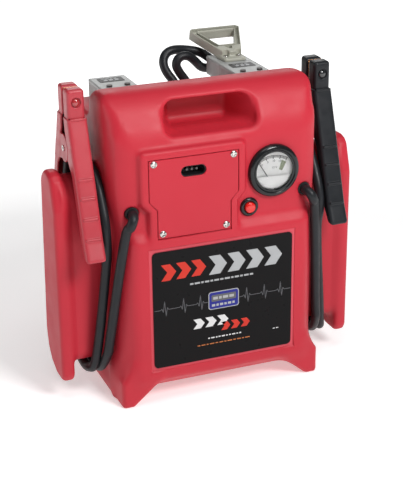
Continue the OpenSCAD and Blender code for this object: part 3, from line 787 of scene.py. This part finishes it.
def turned(name, profile, centre, axis, paint, body, sides=48, closed=False):
    """A closed piece turned from (radius, height) pairs about an axis of the design."""
    axis = Vector(axis).normalized()
    across = axis.orthogonal().normalized()
    other = axis.cross(across)
    points, faces, rings = [], [], []
    for radius, height in profile:
        middle = Vector(centre) + axis * height
        count = sides if radius else 1
        rings.append(list(range(len(points), len(points) + count)))
        for k in range(count):
            turn = 2 * math.pi * k / sides
            points.append(at(*(middle + radius * (math.cos(turn) * across
                                                  + math.sin(turn) * other))))
    for lower, upper in zip(rings, rings[1:] + rings[:1] if closed else rings[1:]):
        for k in range(sides):
            a, b = lower[k % len(lower)], lower[(k + 1) % len(lower)]
            c, d = upper[(k + 1) % len(upper)], upper[k % len(upper)]
            face = tuple(dict.fromkeys((a, b, c, d)))
            if len(face) > 2:
                faces.append(face)
    for ring, order in ((rings[0], -1), (rings[-1], 1)):
        if len(ring) > 2 and not closed:
            faces.append(tuple(ring[::order]))
    made = mesh_object(name, points, faces, paint, body)
    normals_outwards(made.data)
    sharp_shading(made, 40)
    return made


def make_jaw(side, colour, name, way):
    """A copper jaw strip with cut teeth and softened edges."""
    teeth = []
    for i in range(8):
        teeth += [(0.3, 51.8 + i * 3.8), (1.9, 53.7 + i * 3.8)]
    profile = [(3.35, 82.5), (3.35, 50), (1.9, 50)] + teeth + [(1.9, 82.5)]

    def place(u, v, w):
        return at(side * CLAMP_X + v, PIVOT[0] + way * u, PIVOT[1] + w)

    strip = prisms(f"{colour}_{name}_teeth", [profile], -9.5, 9.5, "copper", f"{colour}_{name}",
                   place=place)
    bevel = strip.modifiers.new("soft", "BEVEL")
    bevel.width = 0.25 * MM
    bevel.segments = 2
    bake(strip)
    shown(strip, "copper", f"{colour}_{name}_jaw")


def make_clamp(side, colour):
    """Both arms of a clamp, with their bolts, jaws and spring."""
    for name, way in (("front", -1), ("rear", 1)):
        make_arm(side, colour, name, way)
        centre = (side * CLAMP_X, PIVOT[0] + way * 21.0, PIVOT[1] + BOLT_Z)
        bolt = dome(f"{colour}_{name}_bolt", centre, 5.6, 4.2, (0, way, 0), f"bolt_{colour}",
                    f"{colour}_{name}")
        shown(bolt, f"clamp_{colour}")
        make_jaw(side, colour, name, way)
    make_clamp_spring(side, colour)


def make_clamp_spring(side, colour):
    """The torsion spring, wound of wire on the pivot pin."""
    turns, wire = 4.5, 1.3
    count = int(turns * 24)
    line = []
    for i in range(count + 1):
        turn = 2 * math.pi * turns * i / count
        line.append(np.array([side * CLAMP_X - 5 + 10 * i / count,
                              PIVOT[0] + 6.6 * math.cos(turn), PIVOT[1] + 6.6 * math.sin(turn)]))
    spring = tube(f"{colour}_coil_spring", line, wire, "spring_steel", "root", sides=10)
    shown(spring, "spring_steel", f"{colour}_spring")


# -------- front details
def prisms(name, outlines, y_front, y_back, paint, body="root", place=at):
    """One piece made of thin closed prisms through outlines in X and Z."""
    points, faces = prism_parts(outlines, y_front, y_back, place)
    made = mesh_object(name, points, faces, paint, body, smooth=False)
    normals_outwards(made.data)
    return made


def round_rectangle(x, z, half_x, half_z, r):
    """A rectangle about (x, z) with round corners, as an outline."""
    corners = ((1, 1, 0), (-1, 1, 90), (-1, -1, 180), (1, -1, 270))
    return [(x + sx * (half_x - r) + r * math.cos(math.radians(start + turn)),
             z + sz * (half_z - r) + r * math.sin(math.radians(start + turn)))
            for sx, sz, start in corners for turn in range(0, 91, 15)]


def chevron(x, z, width, height, lean):
    """An arrow-shaped bar that points to the right, from its lower left corner."""
    return [(x, z), (x + width, z), (x + width + lean, z + height / 2), (x + width, z + height),
            (x, z + height), (x + lean, z + height / 2)]


def dashes(x, z, end, height, lengths=(5, 8, 3.5, 6.5, 4, 7)):
    """A row of short bars that stands for a line of small print."""
    row, i = [], 0
    while x + lengths[i % len(lengths)] < end:
        length = lengths[i % len(lengths)]
        row.append(rectangle(x + length / 2, z, length / 2, height / 2))
        x += length + 1.8
        i += 1
    return row


def stroke(points, width):
    """A line of even width through points, as one outline."""
    half = width / 2
    above, below = [], []
    for i, (x, z) in enumerate(points):
        ax, az = points[max(i - 1, 0)]
        bx, bz = points[min(i + 1, len(points) - 1)]
        size = math.hypot(bx - ax, bz - az)
        nx, nz = -(bz - az) / size * half, (bx - ax) / size * half
        above.append((x + nx, z + nz))
        below.append((x - nx, z - nz))
    return above + below[::-1]


def pulse(start, beats, end, z):
    """The bars of a heartbeat line with sharp peaks at the beats."""
    shape = ((-6, 0), (-4, 2), (-2, -4), (0, 13), (2, -10), (4, 3), (6, 0))
    line = [(start, z)]
    for beat in beats:
        line += [(beat + dx, z + dz) for dx, dz in shape]
    line.append((end, z))
    return [stroke(pair, 0.8) for pair in zip(line, line[1:])]


def make_label():
    """The front label: a black film with generic bars, a pulse line and a badge."""
    film = prisms("label_film", [round_rectangle(0, LABEL_Z, *LABEL_HALF, 6)], -0.4, 0.3,
                  "label_black")
    shown(film, "label_black", "front_label")
    print_on = {
        "ink_red": [chevron(x, 188, 13, 24, 9) for x in (-92, -70, -48)]
        + [chevron(x, 98, 9, 13, 5) for x in (-4, 11, 26)],
        "ink_silver": [chevron(x, 186, 17, 28, 10) for x in (-22, 6, 34, 62)]
        + dashes(-50, 177, 48, 2.6),
        "ink_white": [chevron(x, 107, 11, 15, 6) for x in (-46, -28, -10)]
        + dashes(-24, 89, 30, 1.8, (3, 5, 2.5)) + dashes(76, 86, 88, 1.2, (3, 4)),
        "ink_grey": pulse(-103, (-88, -60, -35), -24, 145) + pulse(24, (35, 62, 87), 103, 145),
        "ink_orange": dashes(-40, 80, 42, 1.5, (4, 6, 3, 7)),
    }
    for paint, outlines in print_on.items():
        shown(prisms(f"label_{paint}", outlines, -0.5, -0.38, paint), "label_black")
    badge = ((round_rectangle(0, 146, 23, 13.5, 4), "ink_silver"),
             (round_rectangle(0, 146, 21.8, 12.3, 3.2), "ink_blue"),
             (round_rectangle(0, 149.5, 18.5, 5, 1.5), "ink_grey"))
    for level, (shape, paint) in enumerate(badge):
        front = -0.55 - 0.08 * level
        shown(prisms(f"label_badge_{level}", [shape], front, -0.38, paint), "label_black")
    words = dashes(-16, 149.5, 17, 4, (7, 4, 8)) + dashes(-18, 139, 19, 3.4, (5, 3.5))
    shown(prisms("label_badge_words", words, -0.8, -0.6, "ink_silver"), "label_black")


def make_plate():
    """The plate over the charging inlet, with its slot."""
    shape = jogged(-2.2, PLATE_Z[0] + 2.2)

    def field(x, y, z):
        edge = outline(x, z, shape) - 2.0
        plate = meet(edge, np.abs(y - 1.24) - 1.24, 0.8)
        slot_x = np.maximum(np.abs(x + 42) - 10.5, 0)
        slot = round_bar(slot_x, z - 341, 7.5)
        return meet(plate, -slot, 0.9)

    low = (PLATE_X - PLATE_HALF[0], 0, PLATE_Z[0])
    high = (PLATE_X + PLATE_HALF[0], 2.5, PLATE_Z[1])
    plate = solid("service_plate", low, high, (1.2, 0.6), field, "plate_red", "root", adapt=0.01)
    shown(plate, "case_red", "front_plate")


def make_screw(name, x, y, z, way, radius, twist, nodes=()):
    """A pan-head screw with a cross recess; way is -1 for a head at the front."""
    head = [(radius, 0), (radius, 0.6), (radius * 0.88, 1.4), (radius * 0.6, 1.95), (0, 2.15)]
    shank = [(0, -11), (1.6, -10), (1.6, 0)]
    screw = turned(name, shank + head, (x, y, z), (0, way, 0), "bright_steel", "root", sides=32)
    arm, half = radius * 0.66, radius * 0.24
    cross, quarter = [], [(half, half), (half, arm), (-half, arm)]
    for _ in range(4):
        cross += quarter
        quarter = [(-v, u) for u, v in quarter]
    c, s = math.cos(twist), math.sin(twist)
    turned_cross = [(x + c * u - s * v, z + s * u + c * v) for u, v in cross]
    ends = sorted((y + way * 0.2, y + way * 4))
    carve(screw, cutter("cross", turned_cross, *ends))
    sharp_shading(screw, 40)
    shown(screw, "bright_steel", *nodes)


PLATE_SCREWS = ((-57.1, 356.8), (57.1, 356.8), (-46.1, 257.1), (46.1, 257.1))


def make_plate_screws():
    for i, (dx, z) in enumerate(PLATE_SCREWS):
        make_screw(f"plate_screw_{i}", PLATE_X + dx, 0, z, -1, 4.9, 0.4 + 1.1 * i,
                   () if i else ("front_plate_screws",))


SCALE_R = 43.5
NUMBER_SIZE = 4.2


def ring_of(name, profile, centre, paint):
    """A ring turned about an axis that runs to the front."""
    return turned(name, profile, centre, (0, -1, 0), paint, "root", sides=96, closed=True)


def on_dial(radius, degrees):
    """A point in X and Z on the dial, from the needle's axis, clockwise from the top."""
    turn = math.radians(degrees)
    return METER[0] + radius * math.sin(turn), PIVOT_Z + radius * math.cos(turn)


def make_meter():
    """The panel meter's bezel, the print on its dial and a patch of painted shade at the dial's
    right end by the bezel.
    """
    centre = (METER[0], SET_BACK, METER[1])
    profile = [(29, 0), (29, 5.82), (27.2, 5.9), (27.4, 6.5), (28.6, 6.9), (29.8, 6.7), (30.1, 6.1),
               (30.6, 7.2), (31.6, 7.9), (33.5, 7.7), (35.6, 6.7), (37.0, 4.9), (37.5, 2.6),
               (37.5, 0)]
    bezel = ring_of("meter_ring", profile, centre, "meter_black")
    shown(bezel, "meter_black", "meter_bezel")
    bright = [(27.3, 4.0), (27.3, 3.0), (28.6, 3.0), (28.6, 4.0)]
    shown(ring_of("meter_rim", bright, centre, "bright_steel"), "bright_steel")
    ticks = []
    for i in range(-14, 15):
        start, width = (38.5, 1.0) if i % 7 == 0 else (40, 0.6)
        ticks.append(stroke([on_dial(r, i * 2.1) for r in (start, SCALE_R)], width))
    arc = [on_dial(SCALE_R, turn) for turn in range(-30, 31, 4)]
    scale = prisms("meter_scale", ticks + [stroke(arc, 0.5)], SET_BACK - 0.1, SET_BACK + 0.3,
                   "ink_black")
    shown(scale, "dial_white")
    # an olive patch at the dial's right end: painted shade that the bezel casts on the dial
    bezel_shade = [on_dial(r, turn) for r, turns in ((37.5, range(20, 34, 3)), (24, range(34, 19, -3)))
            for turn in turns]
    shown(prisms("meter_bezel_shade", [bezel_shade], SET_BACK - 0.05, SET_BACK + 0.3, "olive_painted_shade"), "dial_white")
    half_disc = [(METER[0] + 25.9 * math.cos(math.radians(t)),
                  METER[1] + 25.9 * math.sin(math.radians(t))) for t in range(-163, -16, 6)]
    apron = prisms("meter_apron", [half_disc], 7.2, 7.5, "dial_white")
    shown(apron, "dial_white")
    for i, text in enumerate(("0", "5", "10", "15")):
        dial_number(text, *on_dial(35.5, 14.7 * i - 28))
    dial_number("12 V", METER[0] + 2, 326)


def dial_number(text, x, z):
    """A number printed on the dial, as a thin mesh."""
    curve = bpy.data.curves.new(f"dial_{text}", "FONT")
    curve.body = text
    curve.size = NUMBER_SIZE * MM
    curve.extrude = 0.05 * MM
    curve.align_x = "CENTER"
    curve.align_y = "CENTER"
    letter = new_object(f"dial_{text}", curve)
    depsgraph = bpy.context.evaluated_depsgraph_get()
    mesh = bpy.data.meshes.new_from_object(letter.evaluated_get(depsgraph))
    upright = Matrix.Rotation(math.pi / 2, 4, "X")
    mesh.transform(Matrix.Translation(at(x, SET_BACK - 0.1, z)) @ upright)
    bpy.data.objects.remove(letter)
    number = new_object("dial_number_" + text.replace(" ", ""), mesh)
    mesh.materials.clear()
    mesh.materials.append(PAINTS["ink_black"])
    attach(number, "root")
    shown(number, "needle_black")


def make_button():
    """The test button's ring, and its cap on the moving body."""
    centre = (BUTTON[0], SET_BACK, BUTTON[1])
    profile = [(7.7, -19), (7.7, 2.4), (8.4, 3.4), (10.2, 4.0), (12.2, 3.4), (13.3, 1.8),
               (13.5, 0), (8.1, -0.5), (8.1, -19)]
    shown(ring_of("button_ring", profile, centre, "meter_black"), "meter_black", "button_bezel")
    cap = [(0, -12), (2.5, -12), (2.5, -6), (7.5, -6), (7.5, 5.6), (7.1, 6.7), (6.0, 7.4),
           (4.2, 7.8), (2.2, 8.0), (0, 8.05)]
    button = turned("button_cap", cap, centre, (0, -1, 0), "button_red", "test_button")
    shown(button, "button_red", "test_button")


SPRING_Y = (16.9, 29.1)


def make_button_spring():
    """The button's return spring; the CAD sleeve that it stands for shortens with the travel."""
    turns, points = 6, 20
    count = turns * points
    line = []
    for i in range(count + 1):
        turn = 2 * math.pi * i / points
        line.append(np.array([BUTTON[0] + 4.8 * math.cos(turn), SPRING_Y[0] + 12.2 * i / count,
                              BUTTON[1] + 4.8 * math.sin(turn)]))
    spring = unparented(tube("button_coil", line, 0.5, "spring_steel", "root", sides=8))
    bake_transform(spring)
    shown(spring, "spring_steel", "button_spring")


# -------- rear cover
COVER_FACE = 206
COVER_SCREWS = tuple((x, z) for x in (-116, 116) for z in (72, 180, 288))


def make_rear_cover():
    """The rear cover, with its sunk panel, vents and screws."""
    def field(x, y, z):
        plate = meet(block(x, z - 180, 123, 129, 14), np.abs(y - 204) - 2, 1.4)
        panel = meet(block(x, z - 150, 92, 84, 10), 205.2 - y, 0.6)
        field = meet(plate, -panel, 0.8)
        for i in range(6):
            vent_x = np.maximum(np.abs(x) - 44, 0)
            vent = round_bar(vent_x, z - 250 - 8 * i, 1.8)
            field = meet(field, -vent, 0.6)
        for sx, sz in COVER_SCREWS:
            field = both(field, -round_bar(x - sx, z - sz, 2.2))
        return field

    cover = solid("rear_panel", (-123, DEPTH, 51), (123, COVER_FACE, 309), (2.4, 1.0), field,
                  "case_red", "root")
    shown(cover, "case_red", "rear_cover")
    for i, (x, z) in enumerate(COVER_SCREWS):
        make_screw(f"cover_screw_{i}", x, COVER_FACE, z, 1, 4.5, 0.5 * i,
                   () if i else ("rear_cover_screws",))


# -------- connectors
HOUSING = (54, 28)
POLE_X = 12.5
POLE_UP = 14
RECEPTACLE_X = 100
RECEPTACLE_Y = (124, 188)
PLUG_Y = (188.3, 240.3)
HANDLE_Y = 200
BOLT_X = 10
BOLT_BACK = 4
HANDLE_TILT = math.radians(15)


def housing_field(x, y, z, ends):
    """A connector housing: round edges, ribbed sides at the rear and a stepped top."""
    middle, half = sum(ends) / 2, (ends[1] - ends[0]) / 2
    across, along = x, y - middle
    body = meet(np.abs(across) - HOUSING[0] / 2, np.abs(z - DECK - 14.05) - 13.95, 2.2)
    body = meet(body, np.abs(along) - half, 1.2)
    groove = np.abs((along + 400) % 4.6 - 2.3) - 0.9
    groove = both(groove, 24.9 + 1.2 - np.abs(across))
    groove = both(groove, np.abs(z - DECK - POLE_UP) - 9.5)
    return meet(body, -groove, 0.5)


def make_receptacle(side, name):
    """A two-pole receptacle on the deck, with its label."""
    cx = side * RECEPTACLE_X

    def field(x, y, z):
        u = x - cx
        shape = housing_field(u, y, z, RECEPTACLE_Y)
        mouth = meet(np.abs(np.abs(u) - POLE_X) - 8, np.abs(z - DECK - POLE_UP) - 9, 1.5)
        shape = meet(shape, -both(mouth, 158 - y), 0.8)
        screw = round_bar(np.abs(u) - 13, y - 134, 2.1)
        return both(shape, -screw)

    low = (cx - 27, RECEPTACLE_Y[0], DECK)
    high = (cx + 27, RECEPTACLE_Y[1], DECK + HOUSING[1])
    made = solid(f"receptacle_shell_{name}", low, high, (1.6, 0.8), field, "housing_grey", "root",
                 sharp=45)
    shown(made, "housing_grey", f"receptacle_{name}")
    top = DECK + HOUSING[1]

    def flat(x, y, z):
        return at(cx + x, 168 + z, top + y)

    film = prisms(f"receptacle_label_{name}", [round_rectangle(0, 0, 18, 10, 2)], -0.05, 0.45,
                  "label_black", place=flat)
    marks = [chevron(x, -5, 5, 7, 2.5) for x in (-12, -4, 4)] + dashes(-13, 5, 13, 1.8, (4, 6, 3))
    shown(film, "label_black", *(() if side > 0 else ("receptacle_labels",)))
    ink = prisms(f"receptacle_print_{name}", marks, 0.4, 0.6, "ink_silver", place=flat)
    shown(ink, "label_black")


def make_plug():
    """The selector plug: a housing with a tongue for each pole."""
    def field(x, y, z):
        u = x - RECEPTACLE_X
        shape = housing_field(u, y, z, PLUG_Y)
        tongue = meet(np.abs(np.abs(u) - POLE_X) - 7, np.abs(z - DECK - 16.75) - 4.75, 1)
        tongue = meet(tongue, np.abs(y - 178) - 12, 1)
        shape = either(shape, tongue)
        bore = round_bar(np.abs(u) - 12, z - DECK - POLE_UP, 7.4)
        shape = meet(shape, -both(bore, 224 - y), 1.0)
        screw = round_bar(np.abs(u) - BOLT_X, y - HANDLE_Y - BOLT_BACK, 2.1)
        return both(shape, -both(screw, DECK + 20 - z))

    low = (RECEPTACLE_X - 27, 166, DECK)
    high = (RECEPTACLE_X + 27, PLUG_Y[1], DECK + HOUSING[1])
    shell = solid("plug_shell", low, high, (1.6, 0.8), field, "housing_grey", "selector_plug",
                  sharp=45)
    shown(shell, "housing_grey", "plug_housing")


def make_handle():
    """The pull handle: an A-shaped frame with a channel between two raised rims."""
    outer = [(-12, 8), (12, 8), (14, 13), (37, 78), (34, 81), (-34, 81), (-37, 78), (-14, 13)]
    inner = [(-11, 31), (11, 31), (27, 71), (-27, 71)]
    well = [(-5, 23), (5, 23), (1.5, 15), (-1.5, 15)]
    c, s = math.cos(HANDLE_TILT), math.sin(HANDLE_TILT)

    def field(x, y, z):
        u, v, w = x - RECEPTACLE_X, y - HANDLE_Y, z - DECK - 28.1
        along, up = c * v + s * w, c * w - s * v + 3
        edge = outline(u, along, outer) - 3
        hole = 2 - outline(u, along, inner)
        ring = meet(edge, hole, 1.2)
        arms = meet(ring, np.abs(up - 7.5) - 7.5, 1.2)
        channel = both(both(edge + 1.7, hole + 1.7), 8.0 - up)
        arms = meet(arms, -both(channel, 24 - along), 0.5)
        arms = meet(arms, -both(outline(u, along, well) - 1, 9.5 - up), 0.8)
        foot_plate = meet(block(u, v - 7, 17, 17, 4), np.abs(w - 2.5) - 2.5, 1.2)
        shape = join(arms, foot_plate, 3)
        for sign in (-1, 1):
            bolt = round_bar(u - sign * BOLT_X, v - BOLT_BACK, 4.8)
            shape = meet(shape, -both(bolt, 5.0 - w), 0.6)
        return both(shape, -w)

    low = (RECEPTACLE_X - 41, HANDLE_Y - 10, DECK + HOUSING[1])
    high = (RECEPTACLE_X + 41, HANDLE_Y + 86, DECK + 74)
    handle = solid("plug_pull_handle", low, high, (1.8, 0.8), field, "handle_olive",
                   "selector_plug", adapt=0.015)
    shown(handle, "handle_olive", "plug_handle")
    for i, dx in enumerate((-BOLT_X, BOLT_X)):
        centre = (RECEPTACLE_X + dx, HANDLE_Y + BOLT_BACK, DECK + 33.2)
        bolt = dome(f"handle_bolt_{i}", centre, 4, 2.6, (0, 0, 1), "bright_steel",
                    "selector_plug")
        shown(bolt, "bright_steel", *(() if i else ("plug_handle_screws",)))


# -------- CAD nodes that stay
DULL_NODES = {"receptacle_screws": "dull_steel", "charge_inlet_pins": "dull_steel"}


def finish_cad_nodes():
    """Gives every CAD node that stays in view the paint of its slot."""
    for part in frame["record"]["subparts"]:
        node = frame["nodes"][part["node"]]
        node.data.materials.clear()
        node.data.materials.append(PAINTS[DULL_NODES.get(part["node"], part["material_slot"])])


# -------- build
make_paints()
make_camera()
make_studio()
make_floor()
for clamp_side, clamp_colour in CLAMP_SIDES:
    make_clamp_lead(clamp_side, clamp_colour)
finish_cad_nodes()
make_case()
make_label()
make_plate()
make_plate_screws()
make_meter()
make_button()
make_button_spring()
make_rear_cover()
make_receptacle(-1, "left")
make_receptacle(1, "right")
make_plug()
make_handle()
for lead_route, lead_side in zip(SELECTOR_ROUTES, ("left", "right")):
    make_selector_lead(lead_route, lead_side)
for clamp_side, clamp_colour in CLAMP_SIDES:
    make_clamp(clamp_side, clamp_colour)
